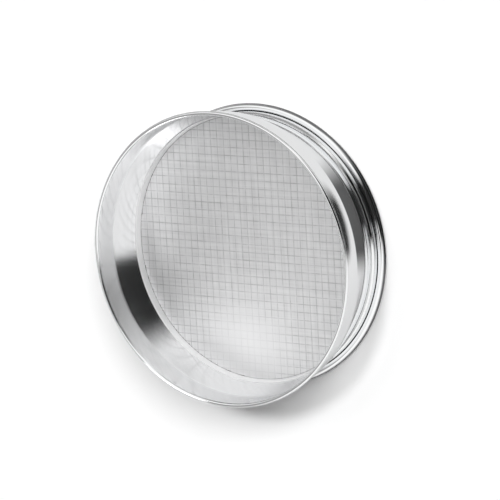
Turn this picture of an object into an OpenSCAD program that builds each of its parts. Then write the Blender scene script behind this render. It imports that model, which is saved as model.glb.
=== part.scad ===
// Round test sieve: a spun sheet-steel frame with rolled edges, a fine wire cloth held down by
// a retaining ring, and a coarse support cloth under it.
// The axis is +Z, the rolled foot stands on z = 0, and the open sample side faces up.

/* [Frame] */
// Inner diameter of the straight collar that the next sieve or pan nests into
bore_d = 200; // [150:1:300]
// Height from the foot to the top of the rim
frame_h = 58.8; // [52:0.1:75]
// Thickness of the sheet
sheet_t = 0.6; // [0.4:0.1:0.8]
// Depth of the collar, from the top of the rim to where the wall starts to draw in
collar_h = 18.6; // [10:0.1:22]
// How far the wall draws in between the collar and the neck
wall_draw = 7.3; // [5:0.1:10]
// Height of the neck, the narrowest ring of the frame, above the foot
neck_h = 10.3; // [9:0.1:11]
// Bending radius where the collar turns into the tapered wall
shoulder_bend_r = 20; // [8:1:30]
// Bending radius at the neck
neck_bend_r = 1; // [0.6:0.1:1.4]

/* [Rolled edges] */
// Radius of the rolled rim's section
rim_roll_r = 1.55; // [1.3:0.05:2.5]
// Radius of the rolled foot's section
foot_roll_r = 2.8; // [2.2:0.1:3.2]
// Radial clearance of the foot in the collar of an equal sieve
nest_gap = 0.3; // [0.1:0.1:0.6]
// Slit that each roll leaves open between the sheet's edge and the wall
roll_gap = 0.3; // [0.1:0.1:0.4]

/* [Cloth] */
// Height of the cloth's upper face above the foot
cloth_h = 15.2; // [14:0.1:18]
// Thickness of the fine wire cloth
cloth_t = 0.25; // [0.15:0.05:0.4]
// Height of the retaining ring
ring_h = 4.6; // [2:0.1:8]
// Thickness of the retaining ring
ring_t = 0.5; // [0.3:0.1:0.8]
// Clearance between pieces that fit together
fit_gap = 0.05; // [0.02:0.01:0.1]

/* [Support cloth] */
// Diameter of a support wire
wire_d = 0.5; // [0.3:0.1:1]
// Spacing of the support wires that run along Y
warp_pitch = 5.3; // [4:0.05:12]
// Spacing of the support wires that run along X
weft_pitch = 5.65; // [4:0.05:12]
// Place along X of the wire along Y that lies nearest to the axis
warp_shift = -2.55; // [-3:0.05:3]
// Place along Y of the wire along X that lies nearest to the axis
weft_shift = 2.4; // [-3:0.05:3]

/* [Hidden] */
$fn = 180;

half_t = sheet_t / 2;
bore_r = bore_d / 2;
rim_roll_x = bore_r + rim_roll_r;
rim_roll_z = frame_h - rim_roll_r;
foot_roll_x = bore_r - nest_gap - foot_roll_r;

// The middle of the sheet, at the collar, the neck and the skirt
collar_x = bore_r + half_t;
neck_x = collar_x - wall_draw;
skirt_x = foot_roll_x - foot_roll_r + half_t;
collar_z = frame_h - collar_h;
skirt_z = neck_h - (skirt_x - neck_x);

// The taper of the wall, and the face on its inner side
taper = atan(wall_draw / (collar_z - neck_h));
function wall_x(z) = neck_x + (z - neck_h) * tan(taper);
function face_x(z) = wall_x(z) - half_t / cos(taper);

// Points of an arc round a centre, one for each angle that a start point is turned through
function unit(v) = v / norm(v);
function left_of(v) = [-v.y, v.x];
function cross2(a, b) = a.x * b.y - a.y * b.x;
function turned(v, angle) = [v.x * cos(angle) - v.y * sin(angle), v.x * sin(angle) + v.y * cos(angle)];
function arc(centre, start, angles) = [for (angle = angles) centre + turned(start - centre, angle)];

// A corner b between a and c, rounded to the radius r
bend_steps = 3;
function bend(a, b, c, r) =
    let (u = unit(b - a), v = unit(c - b))
    let (angle = atan2(cross2(u, v), u * v))
    let (start = b - u * r * tan(abs(angle) / 2))
    arc(start + sign(angle) * r * left_of(u), start, [0:angle / bend_steps:angle * 1.01]);

// A rolled edge: the sheet's middle line from the wall round to its free end. Way is -1 where
// the sheet rolls over the top of the rim and 1 where it rolls under the foot.
roll_step = 30;
function roll(x, z, roll_r, way) =
    let (open_angle = acos((roll_r - sheet_t - roll_gap) / roll_r))
    let (angles = concat([for (angle = [0:roll_step:355 - open_angle]) angle], [360 - open_angle]))
    arc([x, z], [x - roll_r + half_t, z], way * angles);

// The sheet's middle line from the rim's free end to the foot's, and the same line moved sideways
function backwards(p) = [for (i = [len(p) - 1:-1:0]) p[i]];
function sheet_line() =
    let (rim = [collar_x, rim_roll_z], shoulder = [collar_x, collar_z], neck = [neck_x, neck_h])
    let (skirt = [skirt_x, skirt_z], foot = [skirt_x, foot_roll_r])
    concat(
        backwards(roll(rim_roll_x, rim_roll_z, rim_roll_r, -1)),
        bend(rim, shoulder, neck, shoulder_bend_r),
        bend(shoulder, neck, skirt, neck_bend_r),
        bend(neck, skirt, foot, neck_bend_r),
        roll(foot_roll_x, foot_roll_r, foot_roll_r, 1));
function before(p, i) = unit(p[i] - p[max(i - 1, 0)] + (i == 0 ? p[1] - p[0] : [0, 0]));
function after(p, i) = i == len(p) - 1 ? before(p, i) : unit(p[i + 1] - p[i]);
function mitre(p, i) = let (m = left_of(unit(before(p, i) + after(p, i)))) m / (m * left_of(after(p, i)));
function moved(p, d) = [for (i = [0:len(p) - 1]) p[i] + d * mitre(p, i)];

// One sheet: rolled rim, straight collar, tapered wall, neck, skirt and rolled foot
module frame() {
    line = sheet_line();
    color([0.86, 0.87, 0.88])
        rotate_extrude()
            polygon(concat(moved(line, half_t), backwards(moved(line, -half_t))));
}

// Thin hoop with the wall's taper, standing on the cloth's edge
function seat_x(z) = face_x(z) - fit_gap / cos(taper);
module retaining_ring() {
    top = cloth_h + ring_h;
    color([0.9, 0.9, 0.91])
        rotate_extrude()
            polygon([
                [seat_x(cloth_h) - ring_t, cloth_h],
                [seat_x(cloth_h), cloth_h],
                [seat_x(top), top],
                [seat_x(top) - ring_t, top]]);
}

// Fine cloth: a flat disc gripped between the ring and the tapered wall
module wire_cloth() {
    under = cloth_h - cloth_t;
    color([0.74, 0.75, 0.76, 0.55])
        translate([0, 0, under])
            cylinder(r = seat_x(under), h = cloth_t);
}

// One straight wire of the support cloth, along Y at the given place along X
flat_up = 22.5;
module support_wire(x, z) {
    edge_r = face_x(z - wire_d / 2) - fit_gap;
    reach = sqrt(pow(edge_r, 2) - pow(abs(x) + wire_d / 2, 2));
    translate([x, reach, z])
        rotate([90, 0, 0])
            rotate(flat_up)
                cylinder(d = wire_d / cos(flat_up), h = 2 * reach, $fn = 8);
}

// Coarse cloth: a layer of wires along Y, and a layer along X under it
module wire_layer(pitch, shift, z) {
    reach = face_x(z) - pitch / 2;
    for (x = [shift - pitch * floor((reach + shift) / pitch):pitch:reach])
        support_wire(x, z);
}
module support_cloth() {
    warp_z = cloth_h - cloth_t - fit_gap - wire_d / 2;
    weft_z = warp_z - wire_d - fit_gap;
    color([0.45, 0.46, 0.48]) {
        wire_layer(warp_pitch, warp_shift, warp_z);
        rotate(90)
            wire_layer(weft_pitch, weft_shift, weft_z);
    }
}

frame();
retaining_ring();
wire_cloth();
support_cloth();
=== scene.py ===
"""Test sieve: polished spun frame, fine wire cloth, its retaining ring and the coarse support cloth.

The object stands on its rolled foot, with the axis along +Z and the sample side up.
"""
import bpy
import numpy as np
from mathutils import Matrix, Vector


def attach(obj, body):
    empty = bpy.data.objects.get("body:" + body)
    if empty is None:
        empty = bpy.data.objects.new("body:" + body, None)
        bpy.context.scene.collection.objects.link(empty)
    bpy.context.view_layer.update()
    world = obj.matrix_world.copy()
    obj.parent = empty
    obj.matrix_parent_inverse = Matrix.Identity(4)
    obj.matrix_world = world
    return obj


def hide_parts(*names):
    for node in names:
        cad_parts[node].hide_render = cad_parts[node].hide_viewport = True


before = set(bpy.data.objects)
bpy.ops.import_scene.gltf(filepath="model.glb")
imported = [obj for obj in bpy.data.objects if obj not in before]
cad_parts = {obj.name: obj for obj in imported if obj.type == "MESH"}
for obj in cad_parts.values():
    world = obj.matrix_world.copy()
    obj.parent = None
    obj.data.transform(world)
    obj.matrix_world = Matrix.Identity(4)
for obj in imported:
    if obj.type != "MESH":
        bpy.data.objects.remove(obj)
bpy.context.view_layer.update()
MM = 0.001

# Sizes of the pieces, in millimetres, as the construction has them
BORE_R = 100.0
FRAME_H = 58.8
SHEET_T = 0.6
COLLAR_H = 18.6
WALL_DRAW = 7.3
NECK_H = 10.3
SHOULDER_BEND_R = 20.0
NECK_BEND_R = 1.0
RIM_ROLL_R = 1.55
FOOT_ROLL_R = 2.8
NEST_GAP = 0.3
ROLL_GAP = 0.3
CLOTH_H = 15.2
CLOTH_T = 0.25
RING_H = 4.6
RING_T = 0.5
FIT_GAP = 0.05
WIRE_D = 0.5
WARP_PITCH = 5.3
WEFT_PITCH = 5.65
WARP_SHIFT = -2.55
WEFT_SHIFT = 2.4

# Places on the sheet's middle line, and the angle of the tapered wall
HALF_T = SHEET_T / 2
COLLAR_X = BORE_R + HALF_T
NECK_X = COLLAR_X - WALL_DRAW
RIM_ROLL = np.array([BORE_R + RIM_ROLL_R, FRAME_H - RIM_ROLL_R])
FOOT_ROLL = np.array([BORE_R - NEST_GAP - FOOT_ROLL_R, FOOT_ROLL_R])
SKIRT_X = FOOT_ROLL[0] - FOOT_ROLL_R + HALF_T
COLLAR_Z = FRAME_H - COLLAR_H
SKIRT_Z = NECK_H - (SKIRT_X - NECK_X)
TAPER = np.arctan2(WALL_DRAW, COLLAR_Z - NECK_H)

# Steps round the axis and along each rounded part of a section, and the radius of the hoop's edges
TURN_STEPS = 360
RIM_STEPS = 30
FOOT_STEPS = 36
SHOULDER_STEPS = 12
NECK_STEPS = 8
RING_EDGE_STEPS = 6
RING_EDGE_R = 0.1

# The fine cloth: the thickness of its closed layer, the width and height of its low ridges over the
# support wires, the grid's places beside each wire, and how near the edge the ridges die away
CLOTH_SHEET_T = 0.2
RIDGE_W = 0.5
RIDGE_H = 0.012
BESIDE_WIRE = (-0.7, -0.25, 0.25, 0.7)
RIDGE_FADE = 2.0

# The support wires: sides of the tube, its rings to each crossing, and the rings that a wire has besides
WIRE_SIDES = 8
RINGS_PER_PITCH = 6
SPARE_RINGS = 4


# ---------------------------------------------------------------- camera

# A long lens for a square view, 500 pixels wide. Seen from the camera, as right, down and away:
# where the rim's centre lies, and how the object's X, Y and Z axes run
VIEW_PX = 500
FOCAL_PX = 2900.0
SENSOR_W = 36.0
FARTHEST = 20.0
RIM_CENTRE = np.array([0.0, 0.0, RIM_ROLL[1]])
RIM_FROM_CAMERA = np.array([-21.4326, 7.2230, 1974.475])
AXIS_X = np.array([0.84058191, 0.06394288, -0.53789717])
AXIS_Y = np.array([-0.05592244, -0.97745843, -0.20358706])
AXIS_Z = np.array([-0.53879007, 0.20121212, -0.81805803])

# The side that the sieve is looked at from, in degrees round its axis from X
FRONT = 20.7


def make_camera():
    """The camera stands at the rim's centre less its offset, which is turned to the object's axes."""
    to_object = np.array([AXIS_X, AXIS_Y, AXIS_Z])
    place = RIM_CENTRE - to_object @ RIM_FROM_CAMERA
    matrix = np.eye(4)
    matrix[:3, 0] = to_object[:, 0]
    matrix[:3, 1] = -to_object[:, 1]
    matrix[:3, 2] = -to_object[:, 2]
    matrix[:3, 3] = place * MM
    data = bpy.data.cameras.new("camera")
    data.sensor_width = SENSOR_W
    data.lens = FOCAL_PX / VIEW_PX * SENSOR_W
    data.clip_end = FARTHEST
    camera = bpy.data.objects.new("camera", data)
    camera.matrix_world = Matrix(matrix.tolist())
    bpy.context.scene.collection.objects.link(camera)
    bpy.context.scene.camera = camera


# ---------------------------------------------------------------- surfaces

def mesh_object(name, points, faces):
    """A smooth mesh from an array of points, in millimetres, and an array of four-cornered faces."""
    mesh = bpy.data.meshes.new(name)
    mesh.vertices.add(len(points))
    mesh.vertices.foreach_set("co", (np.asarray(points) * MM).astype(np.float32).ravel())
    mesh.loops.add(faces.size)
    mesh.loops.foreach_set("vertex_index", faces.astype(np.int32).ravel())
    mesh.polygons.add(len(faces))
    mesh.polygons.foreach_set("loop_start", np.arange(0, faces.size, 4, dtype=np.int32))
    mesh.update(calc_edges=True)
    mesh.polygons.foreach_set("use_smooth", np.full(len(faces), True))
    mesh.validate()
    piece = bpy.data.objects.new(name, mesh)
    bpy.context.scene.collection.objects.link(piece)
    return piece


def turned_piece(name, section):
    """A closed section in (radius, height) turned round the Z axis.

    Its points run clockwise, so that the faces point outwards."""
    angle = np.linspace(0, 2 * np.pi, TURN_STEPS, endpoint=False)
    radius, height = section[:, 0], section[:, 1]
    points = np.stack([
        np.outer(np.cos(angle), radius),
        np.outer(np.sin(angle), radius),
        np.broadcast_to(height, (TURN_STEPS, len(section)))], axis=-1)
    row = np.arange(TURN_STEPS)[:, None] * len(section)
    next_row = np.roll(row, -1, axis=0)
    along = np.arange(len(section))[None, :]
    next_along = np.roll(along, -1, axis=1)
    faces = np.stack([
        row + along, row + next_along, next_row + next_along, next_row + along], axis=-1)
    return mesh_object(name, points.reshape(-1, 3), faces.reshape(-1, 4))


def unit(vector):
    """A vector, or each of an array of vectors, over its own length."""
    return vector / np.linalg.norm(vector, axis=-1, keepdims=True)


def left_of(vector):
    """A vector of the plane turned by a quarter to the left."""
    return np.stack([-vector[..., 1], vector[..., 0]], axis=-1)


def arc(centre, start, angles):
    """The start point turned round the centre through each angle, in radians."""
    x, y = start - centre
    cosine, sine = np.cos(angles), np.sin(angles)
    return centre + np.stack([x * cosine - y * sine, x * sine + y * cosine], axis=-1)


def bend(a, b, c, radius, steps):
    """The corner b between a and c, rounded to a radius: an arc that touches both sides."""
    u, v = unit(b - a), unit(c - b)
    angle = np.arctan2(u[0] * v[1] - u[1] * v[0], u @ v)
    start = b - u * radius * np.tan(abs(angle) / 2)
    return arc(start + np.sign(angle) * radius * left_of(u), start, np.linspace(0, angle, steps))


def roll(centre, radius, way, steps):
    """A rolled edge: the sheet's middle line from the wall round to its free end.

    It is an arc that stops where its end would come within ROLL_GAP of the wall."""
    open_angle = np.arccos((radius - SHEET_T - ROLL_GAP) / radius)
    start = centre - [radius - HALF_T, 0]
    return arc(centre, start, way * np.linspace(0, 2 * np.pi - open_angle, steps))


def sheet_section():
    """The middle line from the rim's free end to the foot's, moved by half the thickness to each side."""
    rim, shoulder = np.array([COLLAR_X, RIM_ROLL[1]]), np.array([COLLAR_X, COLLAR_Z])
    neck, skirt = np.array([NECK_X, NECK_H]), np.array([SKIRT_X, SKIRT_Z])
    foot = np.array([SKIRT_X, FOOT_ROLL_R])
    line = np.concatenate([
        roll(RIM_ROLL, RIM_ROLL_R, -1, RIM_STEPS)[::-1],
        bend(rim, shoulder, neck, SHOULDER_BEND_R, SHOULDER_STEPS),
        bend(shoulder, neck, skirt, NECK_BEND_R, NECK_STEPS),
        bend(neck, skirt, foot, NECK_BEND_R, NECK_STEPS),
        roll(FOOT_ROLL, FOOT_ROLL_R, 1, FOOT_STEPS)])
    step = unit(np.diff(line, axis=0))
    before, after = np.vstack([step[:1], step]), np.vstack([step, step[-1:]])
    mitre = left_of(unit(before + after))
    mitre /= np.sum(mitre * left_of(after), axis=1, keepdims=True)
    return np.concatenate([line + HALF_T * mitre, (line - HALF_T * mitre)[::-1]])


def seat_radius(height):
    """Inner radius of the tapered wall at a height, less the clearance."""
    return NECK_X + (height - NECK_H) * np.tan(TAPER) - (HALF_T + FIT_GAP) / np.cos(TAPER)


def ring_section():
    """The hoop's section between the wall and the cloth, with its four edges rounded."""
    low, high = CLOTH_H, CLOTH_H + RING_H
    foot, top = seat_radius(low), seat_radius(high)
    corners = np.array([[foot - RING_T, low], [top - RING_T, high], [top, high], [foot, low]])
    return np.concatenate([
        bend(corners[i - 1], corners[i], corners[(i + 1) % 4], RING_EDGE_R, RING_EDGE_STEPS)
        for i in range(4)])


def ridge(place, shift, pitch):
    """Height of the ridges over the wires that lie at shift and every pitch from it.

    It is a bell of the distance to the nearest wire: RIDGE_H at none, falling off within RIDGE_W."""
    distance = (place - shift + pitch / 2) % pitch - pitch / 2
    return RIDGE_H * np.exp(-(distance / RIDGE_W) ** 2)


def grid_places(radius, shift, pitch):
    """Places from -radius to radius: those beside each wire, and the middle between two wires."""
    first = np.ceil((-radius - shift) / pitch) - 1
    last = np.floor((radius - shift) / pitch) + 1
    wires = shift + pitch * np.arange(first, last + 1)
    places = wires[:, None] + np.array(BESIDE_WIRE + (pitch / 2,))
    return np.unique(np.round(places.ravel(), decimals=4))


def fine_cloth_piece():
    """A flat disc on a grid of x and y, lifted in low ridges where it lies on the support wires.

    The disc is cut by pulling the grid's outside corners in to its edge. Solidify closes it downwards."""
    radius = seat_radius(CLOTH_H - CLOTH_T)
    xs = grid_places(radius, WARP_SHIFT, WARP_PITCH)
    ys = grid_places(radius, WEFT_SHIFT, WEFT_PITCH)
    x, y = np.meshgrid(xs, ys, indexing="ij")
    away = np.hypot(x, y)
    inside = away < radius
    pull = radius / np.maximum(away, radius)
    x, y = x * pull, y * pull
    fade = np.clip((radius - np.hypot(x, y)) / RIDGE_FADE, 0, 1)
    lift = np.maximum(ridge(x, WARP_SHIFT, WARP_PITCH), ridge(y, WEFT_SHIFT, WEFT_PITCH)) * fade
    top = np.stack([x, y, CLOTH_H - RIDGE_H + lift], axis=-1)
    index = np.arange(x.size).reshape(x.shape)
    cells = np.stack([index[:-1, :-1], index[1:, :-1], index[1:, 1:], index[:-1, 1:]], axis=-1)
    cells = cells.reshape(-1, 4)
    kept = cells[inside.ravel()[cells].any(axis=1)]
    used, compact = np.unique(kept, return_inverse=True)
    piece = mesh_object("fine_cloth", top.reshape(-1, 3)[used], compact.reshape(-1, 4))
    closing = piece.modifiers.new("closing", "SOLIDIFY")
    closing.thickness = CLOTH_SHEET_T * MM
    closing.offset = -1
    return piece


def tube_faces(rings):
    """Faces of a round tube along its rings of points, with a fan of fours over each end."""
    ring = np.arange(rings - 1)[:, None] * WIRE_SIDES
    beyond = ring + WIRE_SIDES
    here = np.arange(WIRE_SIDES)[None, :]
    after = (here + 1) % WIRE_SIDES
    skin = np.stack([ring + here, ring + after, beyond + after, beyond + here], axis=-1)
    fan = np.array([[0, k + 1, k + 2, k + 3] for k in range(0, WIRE_SIDES - 2, 2)])
    return np.concatenate([skin.reshape(-1, 4), fan[:, ::-1], fan + (rings - 1) * WIRE_SIDES])


def woven_wires(name, along_x, shift, pitch, cross_shift, cross_pitch, first_up):
    """Parallel wires that wave over and under the wires they cross, as one mesh.

    Each is a circle carried along a cosine whose crests lie at the crossings, half a wire from the
    middle, and the circle leans with the cosine's slope."""
    middle = CLOTH_H - CLOTH_T - FIT_GAP - WIRE_D
    edge = seat_radius(middle - WIRE_D) - FIT_GAP
    first = np.ceil((-edge + WIRE_D - shift) / pitch)
    last = np.floor((edge - WIRE_D - shift) / pitch)
    around = np.arange(WIRE_SIDES) * 2 * np.pi / WIRE_SIDES
    out, side = WIRE_D / 2 * np.cos(around), WIRE_D / 2 * np.sin(around)
    points, faces, start = [], [], 0
    for number in np.arange(first, last + 1):
        place = shift + number * pitch
        reach = np.sqrt(edge ** 2 - (abs(place) + WIRE_D / 2) ** 2)
        rings = int(2 * reach / cross_pitch * RINGS_PER_PITCH) + SPARE_RINGS
        run = np.linspace(-reach, reach, rings)[:, None]
        phase = np.pi * ((run - cross_shift) / cross_pitch + number)
        height = middle + first_up * WIRE_D / 2 * np.cos(phase)
        lean = np.arctan(-first_up * WIRE_D / 2 * np.sin(phase) * np.pi / cross_pitch)
        forward = run - out * np.sin(lean)
        up = height + out * np.cos(lean)
        across = np.broadcast_to(place + side, up.shape)
        tube = [forward, across, up] if along_x else [across, forward, up]
        points.append(np.stack(tube, axis=-1).reshape(-1, 3))
        skin = tube_faces(rings) + start
        faces.append(skin[:, ::-1] if along_x else skin)
        start += rings * WIRE_SIDES
    return mesh_object(name, np.concatenate(points), np.concatenate(faces))


# ---------------------------------------------------------------- shading nodes

# What a bump's height of one stands for, in metres
BUMP_H = 0.02 * MM


def new_material(name):
    """A material, its node tree and its main shader."""
    material = bpy.data.materials.new(name)
    material.use_nodes = True
    return material, material.node_tree, material.node_tree.nodes["Principled BSDF"]


def add(tree, kind, **values):
    """A node with its properties set. A key that starts with in_ sets the input of that name or number."""
    node = tree.nodes.new(kind)
    for key, value in values.items():
        if key.startswith("in_"):
            name = key[3:]
            socket = node.inputs[int(name)] if name.isdigit() else node.inputs[name]
            socket.default_value = value
        else:
            setattr(node, key, value)
    return node


def maths(tree, operation, first, second=None):
    """The output of a maths node; each input is an output of another node or a number."""
    node = add(tree, "ShaderNodeMath", operation=operation)
    for place, value in ((0, first), (1, second)):
        if value is None:
            continue
        if isinstance(value, (int, float)):
            node.inputs[place].default_value = value
        else:
            tree.links.new(value, node.inputs[place])
    return node.outputs[0]


def slope(tree, value, start, end, before, after):
    """A smooth step from one value to another between two places."""
    node = add(
        tree, "ShaderNodeMapRange", interpolation_type="SMOOTHSTEP",
        in_1=start, in_2=end, in_3=before, in_4=after)
    tree.links.new(value, node.inputs[0])
    return node.outputs[0]


def window(tree, value, low, low_soft, high, high_soft):
    """One from low to high, nought outside, with a smooth step at each edge."""
    rise = slope(tree, value, low - low_soft, low + low_soft, 0.0, 1.0)
    fall = slope(tree, value, high - high_soft, high + high_soft, 1.0, 0.0)
    return maths(tree, "MULTIPLY", rise, fall)


def parts_of(tree, vector):
    """The x, y and z of a vector."""
    split = add(tree, "ShaderNodeSeparateXYZ")
    tree.links.new(vector, split.inputs[0])
    return tuple(split.outputs)


def azimuth_of(tree, x, y):
    """Angle round the axis, counted from FRONT, in radians."""
    return maths(tree, "SUBTRACT", maths(tree, "ARCTAN2", y, x), float(np.radians(FRONT)))


def length_of(tree, x, y):
    """Root of the sum of the squares of x and y."""
    squares = maths(tree, "ADD", maths(tree, "MULTIPLY", x, x), maths(tree, "MULTIPLY", y, y))
    return maths(tree, "SQRT", squares)


def noise(tree, vector, scale, detail, roughness):
    """Noise from nought to one over the places of a vector."""
    node = add(tree, "ShaderNodeTexNoise", in_Scale=scale, in_Detail=detail, in_Roughness=roughness)
    tree.links.new(vector, node.inputs["Vector"])
    return node.outputs["Fac"]


def swing(tree, value, size):
    """A value from nought to one, made to lie evenly round nought and scaled to a size."""
    return maths(tree, "MULTIPLY", maths(tree, "SUBTRACT", value, 0.5), size)


def mixed(tree, share, first, second, clamp):
    """The way from one colour to another by a share."""
    node = add(
        tree, "ShaderNodeMix", data_type="RGBA", clamp_factor=clamp,
        in_6=(*first, 1), in_7=(*second, 1))
    tree.links.new(share, node.inputs[0])
    return node.outputs[2]


def mixed_shader(tree, share, first, second):
    """The way from one shader to another by a share."""
    node = add(tree, "ShaderNodeMixShader")
    for place, output in enumerate((share, first, second)):
        tree.links.new(output, node.inputs[place])
    return node.outputs[0]


def add_bump(tree, shader, height, strength):
    """A fine bump of the shader's surface: a height that varies round nought or a half, times BUMP_H."""
    bump = add(tree, "ShaderNodeBump", in_Strength=strength, in_Distance=BUMP_H)
    tree.links.new(height, bump.inputs["Height"])
    tree.links.new(bump.outputs[0], shader.inputs["Normal"])


# ---------------------------------------------------------------- materials

# Colours of the three steels, the tint of what they reflect where they are seen low, and the painted
# shade on the foot's outer edge, a dark reflection painted into its colour
FRAME_COLOUR = (0.935, 0.94, 0.945)
RING_COLOUR = (0.97, 0.972, 0.975)
WIRE_COLOUR = (0.55, 0.55, 0.56)
STEEL_GLANCE_TINT = (0.93, 0.93, 0.935, 1)
FOOT_PAINTED_SHADE_COLOUR = (0.1, 0.1, 0.105)

# Steel: scale of the lines round the axis and how little they change along their way, scale of the
# smudges, and how much each of them changes the roughness
LINE_SCALE = 2200.0
LINE_STRETCH = 0.002
SMUDGE_SCALE = 38.0
FINISH_SWING = 0.05

# The satin bore: the heights between which it ends below the rim, and the softness of its border
# along the sheet's middle
BORE_TOP = (54.0, 55.5)
BORE_SOFT = 0.1

# Painted shade on the foot's outer edge, standing in for a dark reflection: the heights and the radii
# between which it fades
FOOT_SHADE_HEIGHTS = (3.8, 5.0)
FOOT_SHADE_RADII = (97.5, 98.5)

# The fine cloth: its colour and that of its lines, its metal and its roughness from seen steeply to
# seen low, and the values of facing between which they change
CLOTH_COLOUR = (0.87, 0.87, 0.875)
CLOTH_LINE_COLOUR = (0.64, 0.64, 0.645)
CLOTH_METAL = (0.86, 1.0)
CLOTH_ROUGHNESS = (0.46, 0.15)
CLOTH_FACING = (0.2, 0.5)

# Its lines over the support wires: the half widths between which they fade, the scale of their wear,
# the wear between which they change, and their strength from worn to fresh
LINE_HALF_W = (0.15, 0.45)
LINE_WEAR_SCALE = 120.0
LINE_WEAR = (0.3, 0.7)
LINE_STRENGTH = (0.45, 1.2)

# A painted highlight, where the lines fade as if washed out by a glint: where it is, the radii between
# which the lines come back, and the share of them that shows inside
HIGHLIGHT_PLACE = (-8.0, -74.0)
HIGHLIGHT_RADII = (14.0, 48.0)
HIGHLIGHT_LINE_SHARE = 0.25

# Its threads, drawn out one way each, its weave, and the painted shade in the corner along the ring
THREAD_SCALE = 560.0
THREAD_STRETCH = ((1.0, 0.05, 1.0), (0.05, 1.0, 1.0))
THREAD_SWING = 0.9
WEAVE_PITCH = 0.4
RING_SHADE_W = 0.5
RING_SHADE_DARK = 1.6


def bore_mask(tree, across, up):
    """One inside the bore, nearer the axis than the sheet's middle line, and nought on the rim's roll.

    The middle line stands at COLLAR_X, or below the collar where the taper is."""
    drawn = maths(tree, "MULTIPLY", maths(tree, "SUBTRACT", up, NECK_H * MM), float(np.tan(TAPER)))
    tapered = maths(tree, "ADD", drawn, float(NECK_X * MM))
    beyond = maths(tree, "SUBTRACT", across, maths(tree, "MINIMUM", COLLAR_X * MM, tapered))
    inside = slope(tree, beyond, -BORE_SOFT * MM, BORE_SOFT * MM, 1.0, 0.0)
    low, high = BORE_TOP
    return maths(tree, "MULTIPLY", inside, slope(tree, up, low * MM, high * MM, 1.0, 0.0))


def painted_foot_shade_mask(tree, across, up):
    """Where the foot's roll gets painted shade: one on its outer edge, low down and far from the axis."""
    low, high = FOOT_SHADE_HEIGHTS
    inner, outer = FOOT_SHADE_RADII
    down = slope(tree, up, low * MM, high * MM, 1.0, 0.0)
    out = slope(tree, across, inner * MM, outer * MM, 0.0, 1.0)
    return maths(tree, "MULTIPLY", down, out)


def spun_steel(name, colour, metal, roughness, satin=None, foot_painted_shade=None):
    """Spun or drawn steel: fine lines round the axis and faint smudges, in the roughness and as a bump.

    The lines are noise of the height and radius that hardly changes round the axis. Satin is the
    roughness inside the bore. The last argument is how far the foot's outer edge goes to painted shade,
    a dark reflection painted into its colour."""
    material, tree, shader = new_material(name)
    shader.inputs["Base Color"].default_value = (*colour, 1)
    shader.inputs["Metallic"].default_value = metal
    shader.inputs["Specular Tint"].default_value = STEEL_GLANCE_TINT
    place = add(tree, "ShaderNodeTexCoord").outputs["Object"]
    x, y, up = parts_of(tree, place)
    across = length_of(tree, x, y)
    ring = add(tree, "ShaderNodeCombineXYZ")
    tree.links.new(maths(tree, "MULTIPLY", azimuth_of(tree, x, y), LINE_STRETCH), ring.inputs[0])
    tree.links.new(across, ring.inputs[1])
    tree.links.new(up, ring.inputs[2])
    lines = noise(tree, ring.outputs[0], LINE_SCALE, detail=3.0, roughness=0.6)
    smudges = noise(tree, place, SMUDGE_SCALE, detail=4.0, roughness=0.55)
    finish = roughness
    if satin is not None:
        satined = maths(tree, "MULTIPLY", bore_mask(tree, across, up), satin - roughness)
        finish = maths(tree, "ADD", roughness, satined)
    worn = maths(tree, "ADD", swing(tree, smudges, FINISH_SWING), swing(tree, lines, FINISH_SWING))
    tree.links.new(maths(tree, "ADD", finish, worn), shader.inputs["Roughness"])
    # Painted shade: the foot's outer edge is darkened in its colour, a dark reflection painted in
    if foot_painted_shade is not None:
        share = maths(tree, "MULTIPLY", painted_foot_shade_mask(tree, across, up), foot_painted_shade)
        tint = mixed(tree, share, colour, FOOT_PAINTED_SHADE_COLOUR, clamp=True)
        tree.links.new(tint, shader.inputs["Base Color"])
    add_bump(tree, shader, lines, strength=0.12)
    return material


def wire_line(tree, place, shift, pitch):
    """One over the wires that lie at shift and every pitch from it, falling to nought beside them.

    The distance to the nearest wire is the place, wrapped round to half a pitch either way."""
    moved = maths(tree, "SUBTRACT", place, (shift + pitch / 2) * MM)
    wrapped = maths(tree, "FLOORED_MODULO", moved, pitch * MM)
    away = maths(tree, "ABSOLUTE", maths(tree, "SUBTRACT", wrapped, pitch / 2 * MM))
    start, end = LINE_HALF_W
    return slope(tree, away, start * MM, end * MM, 1.0, 0.0)


def uneven_threads(tree, place, stretch):
    """Threads one way of the weave: noise drawn out along them, evenly round nought."""
    drawn = add(tree, "ShaderNodeVectorMath", operation="MULTIPLY", in_1=stretch)
    tree.links.new(place, drawn.inputs[0])
    thread = noise(tree, drawn.outputs[0], THREAD_SCALE, detail=2.0, roughness=0.6)
    return swing(tree, thread, THREAD_SWING)


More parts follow.
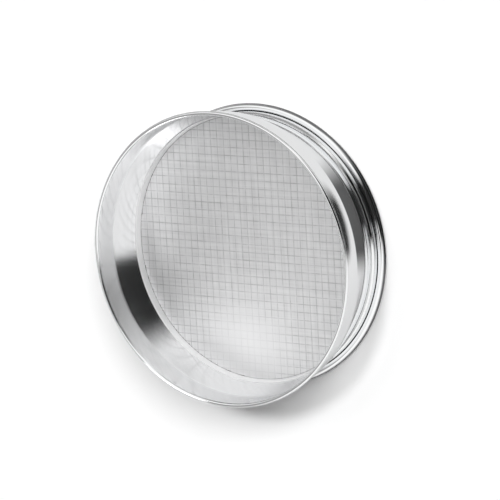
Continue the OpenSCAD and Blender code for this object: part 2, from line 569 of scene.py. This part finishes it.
def woven_steel(name):
    """Fine woven steel: its plain colour, turned to that of its lines by the sum of three things.

    They are worn lines over the support wires and uneven threads both ways, both fainter round a painted
    highlight, and painted shade in the corner along the ring. The weave's bump is the product of a sine
    each way."""
    material, tree, shader = new_material(name)
    facing = add(tree, "ShaderNodeLayerWeight", in_Blend=0.5).outputs["Facing"]
    tree.links.new(slope(tree, facing, *CLOTH_FACING, *CLOTH_METAL), shader.inputs["Metallic"])
    tree.links.new(slope(tree, facing, *CLOTH_FACING, *CLOTH_ROUGHNESS), shader.inputs["Roughness"])
    place = add(tree, "ShaderNodeTexCoord").outputs["Object"]
    x, y, _ = parts_of(tree, place)
    warp_line = wire_line(tree, x, WARP_SHIFT, WARP_PITCH)
    weft_line = wire_line(tree, y, WEFT_SHIFT, WEFT_PITCH)
    wear = noise(tree, place, LINE_WEAR_SCALE, detail=3.0, roughness=0.6)
    strength = slope(tree, wear, *LINE_WEAR, *LINE_STRENGTH)
    lines = maths(tree, "MULTIPLY", maths(tree, "MAXIMUM", warp_line, weft_line), strength)
    threads = [uneven_threads(tree, place, stretch) for stretch in THREAD_STRETCH]
    marks = maths(tree, "ADD", lines, maths(tree, "ADD", *threads))
    # Painted highlight: the lines and threads fade round this place, so the cloth is lighter there
    off_x = maths(tree, "SUBTRACT", x, HIGHLIGHT_PLACE[0] * MM)
    off_y = maths(tree, "SUBTRACT", y, HIGHLIGHT_PLACE[1] * MM)
    near, far = HIGHLIGHT_RADII
    shown = slope(tree, length_of(tree, off_x, off_y), near * MM, far * MM, HIGHLIGHT_LINE_SHARE, 1.0)
    # Painted shade: the cloth darkens towards the foot of the ring, where the corner between them falls in
    # shade
    ring_corner_radius = (seat_radius(CLOTH_H) - RING_T) * MM
    edge = slope(tree, length_of(tree, x, y), ring_corner_radius - RING_SHADE_W * MM, ring_corner_radius, 0.0, RING_SHADE_DARK)
    share = maths(tree, "ADD", maths(tree, "MULTIPLY", marks, shown), edge)
    colour = mixed(tree, share, CLOTH_COLOUR, CLOTH_LINE_COLOUR, clamp=False)
    tree.links.new(colour, shader.inputs["Base Color"])
    turns = float(np.pi / (WEAVE_PITCH * MM))
    over = [maths(tree, "SINE", maths(tree, "MULTIPLY", part, turns)) for part in (x, y)]
    add_bump(tree, shader, maths(tree, "MULTIPLY", *over), strength=0.25)
    return material


# ---------------------------------------------------------------- studio

# Unlit parts of the room as the metal shows them, in degrees: azimuth of the middle, counted from FRONT,
# how far each part reaches and how soft its edge is, first to the side of lower azimuth and then to the
# other, then its foot, its top and how soft they are, and last how dark it is
UNLIT_PARTS = [
    (0, 25, 5, 35, 14, -14, 47, 4, 0.99),
    (2, 20, 6, 20, 6, 42, 66, 4, 0.95),
    (-27, 7, 4, 7, 4, 36, 46, 3, 0.6),
    (-148, 19, 7, 19, 7, -6, 40, 5, 0.4),
    (0, 48, 10, 30, 12, 62, 100, 4, 0.97),
    (-22, 62, 12, 62, 12, 70, 100, 4, 0.95),
    (180, 42, 15, 42, 15, 30, 68, 8, 0.67),
    (100, 46, 10, 48, 12, -8, 26, 4, 0.65),
    (0, 181, 1, 181, 1, -3, 4, 2, 0.6),
]

# Patches of the floor that the metal shows darker, in the same order, with an inner radius, an outer
# radius and their softness, in millimetres, for the foot, the top and theirs
UNLIT_FLOOR = [
    (0, 181, 1, 181, 1, 60, 99, 1.5, 0.9),
    (0, 25, 7, 21, 10, 60, 121, 2.5, 0.86),
    (0, 21, 5, 13, 8, 128.9, 320, 0.5, 0.97),
    (60, 36, 8, 45, 20, 130.3, 190, 0.7, 0.9),
]

# The floor's half width in metres, its own grey, the glow that lifts it to white, the room's light on
# matt surfaces, and how bright the metal shows the floor
FLOOR_HALF_W = 6
FLOOR_PALE = 0.9
FLOOR_LIFT = 0.11
ROOM_FILL = 0.05
FLOOR_IN_METAL = 0.76


def unlit(tree, azimuth, upright, parts, scale):
    """The share of light left by dark parts: the product, over the parts, of one less each darkness.

    Scale turns the foot and the top of each part into the unit of upright."""
    left = None
    for *sideways, low, high, soft, darkness in parts:
        middle, back, back_soft, ahead, ahead_soft = np.radians(sideways).tolist()
        turned = maths(tree, "SUBTRACT", azimuth, middle - np.pi)
        turned = maths(tree, "SUBTRACT", maths(tree, "FLOORED_MODULO", turned, 2 * np.pi), np.pi)
        reach = window(tree, turned, -back, back_soft, ahead, ahead_soft)
        tall = window(tree, upright, low * scale, soft * scale, high * scale, soft * scale)
        dark = maths(tree, "MULTIPLY", maths(tree, "MULTIPLY", reach, tall), darkness)
        share = maths(tree, "SUBTRACT", 1.0, dark)
        left = share if left is None else maths(tree, "MULTIPLY", left, share)
    return left


def make_world():
    """A white room. Its fill on matt surfaces is even, and polished metal also shows its unlit parts."""
    world = bpy.data.worlds.new("studio")
    bpy.context.scene.world = world
    world.use_nodes = True
    tree = world.node_tree
    x, y, up = parts_of(tree, add(tree, "ShaderNodeTexCoord").outputs["Generated"])
    elevation = maths(tree, "ARCSINE", up)
    shown = unlit(tree, azimuth_of(tree, x, y), elevation, UNLIT_PARTS, float(np.radians(1)))
    path = add(tree, "ShaderNodeLightPath")
    fill = add(tree, "ShaderNodeMix", data_type="FLOAT", in_2=ROOM_FILL, in_3=1.0)
    tree.links.new(path.outputs["Is Camera Ray"], fill.inputs[0])
    light = add(tree, "ShaderNodeMix", data_type="FLOAT")
    tree.links.new(path.outputs["Is Glossy Ray"], light.inputs[0])
    tree.links.new(fill.outputs[0], light.inputs[2])
    tree.links.new(shown, light.inputs[3])
    background = tree.nodes["Background"]
    background.inputs["Color"].default_value = (1, 1, 1, 1)
    tree.links.new(light.outputs[0], background.inputs["Strength"])


def make_floor():
    """A wide pale floor at the foot. Camera and metal see it lifted to white but for the shadow.

    Metal also sees its darker patches. From underneath, the floor is clear."""
    half = FLOOR_HALF_W
    mesh = bpy.data.meshes.new("floor")
    corners = [(-half, -half, 0), (half, -half, 0), (half, half, 0), (-half, half, 0)]
    mesh.from_pydata(corners, [], [(0, 1, 2, 3)])
    floor = bpy.data.objects.new("floor", mesh)
    bpy.context.scene.collection.objects.link(floor)
    material, tree, shader = new_material("floor")
    tree.nodes.remove(shader)
    path = add(tree, "ShaderNodeLightPath")
    in_metal = path.outputs["Is Glossy Ray"]
    matt = add(tree, "ShaderNodeBsdfDiffuse", in_Color=(FLOOR_PALE, FLOOR_PALE, FLOOR_PALE, 1))
    lift = add(tree, "ShaderNodeEmission")
    seen = maths(tree, "MAXIMUM", path.outputs["Is Camera Ray"], in_metal)
    tree.links.new(maths(tree, "MULTIPLY", seen, FLOOR_LIFT), lift.inputs["Strength"])
    lifted = add(tree, "ShaderNodeAddShader")
    tree.links.new(matt.outputs[0], lifted.inputs[0])
    tree.links.new(lift.outputs[0], lifted.inputs[1])
    x, y, _ = parts_of(tree, add(tree, "ShaderNodeTexCoord").outputs["Object"])
    shown = unlit(tree, azimuth_of(tree, x, y), length_of(tree, x, y), UNLIT_FLOOR, MM)
    darkness = maths(tree, "SUBTRACT", 1.0, maths(tree, "MULTIPLY", shown, FLOOR_IN_METAL))
    share = maths(tree, "MULTIPLY", in_metal, darkness)
    black = add(tree, "ShaderNodeEmission", in_Strength=0.0)
    patched = mixed_shader(tree, share, lifted.outputs[0], black.outputs[0])
    underneath = add(tree, "ShaderNodeNewGeometry").outputs["Backfacing"]
    clear = add(tree, "ShaderNodeBsdfTransparent")
    surface = mixed_shader(tree, underneath, patched, clear.outputs[0])
    tree.links.new(surface, tree.nodes["Material Output"].inputs["Surface"])
    mesh.materials.append(material)


def make_lamp(name, kind, place, energy):
    """A lamp at a place in millimetres, turned to the middle of the cloth."""
    data = bpy.data.lights.new(name, kind)
    data.energy = energy
    lamp = bpy.data.objects.new(name, data)
    lamp.location = np.array(place) * MM
    aim = Vector(place) - Vector((0, 0, CLOTH_H))
    lamp.rotation_mode = "QUATERNION"
    lamp.rotation_quaternion = aim.to_track_quat("Z", "Y")
    bpy.context.scene.collection.objects.link(lamp)
    return lamp


def make_sun(name, place, energy, spread):
    """A distant lamp, its spread in degrees. It lights matt surfaces, and the metal doesn't show it."""
    lamp = make_lamp(name, "SUN", place, energy)
    lamp.data.angle = np.radians(spread)
    lamp.visible_glossy = False


def make_glint(name, place, energy, width):
    """A small round lamp, its width in metres, that only metal shows."""
    lamp = make_lamp(name, "AREA", place, energy)
    lamp.data.shape = "DISK"
    lamp.data.size = width
    lamp.visible_diffuse = False
    lamp.visible_camera = False


def stand_for(piece, material, node):
    """The piece gets its material, moves with the sieve and stands for a node of the construction."""
    piece.data.materials.append(material)
    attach(piece, "root")
    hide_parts(node)


make_camera()

frame_steel = spun_steel(
    "polished_frame_steel", FRAME_COLOUR, metal=1.0, roughness=0.05, satin=0.14, foot_painted_shade=0.92)
ring_steel = spun_steel("polished_ring_steel", RING_COLOUR, metal=0.5, roughness=0.38)
wire_steel = spun_steel("drawn_wire_steel", WIRE_COLOUR, metal=1.0, roughness=0.3)
cloth_steel = woven_steel("fine_woven_steel")

stand_for(turned_piece("frame_shell", sheet_section()), frame_steel, "frame")
stand_for(turned_piece("ring_hoop", ring_section()), ring_steel, "retaining_ring")
stand_for(fine_cloth_piece(), cloth_steel, "wire_cloth")
warp = woven_wires("warp_wires", False, WARP_SHIFT, WARP_PITCH, WEFT_SHIFT, WEFT_PITCH, 1)
weft = woven_wires("weft_wires", True, WEFT_SHIFT, WEFT_PITCH, WARP_SHIFT, WARP_PITCH, -1)
stand_for(warp, wire_steel, "support_cloth")
stand_for(weft, wire_steel, "support_cloth")

make_world()
make_floor()
make_sun("key", (700, 600, 1000), energy=2.07, spread=24)
make_sun("high", (100, 400, 1000), energy=1.13, spread=10)
make_sun("far_side", (-300, 600, 1000), energy=0.62, spread=24)
make_glint("glint", (-102, -122, 136), energy=0.027, width=0.06)

bpy.context.scene.view_settings.view_transform = "Standard"
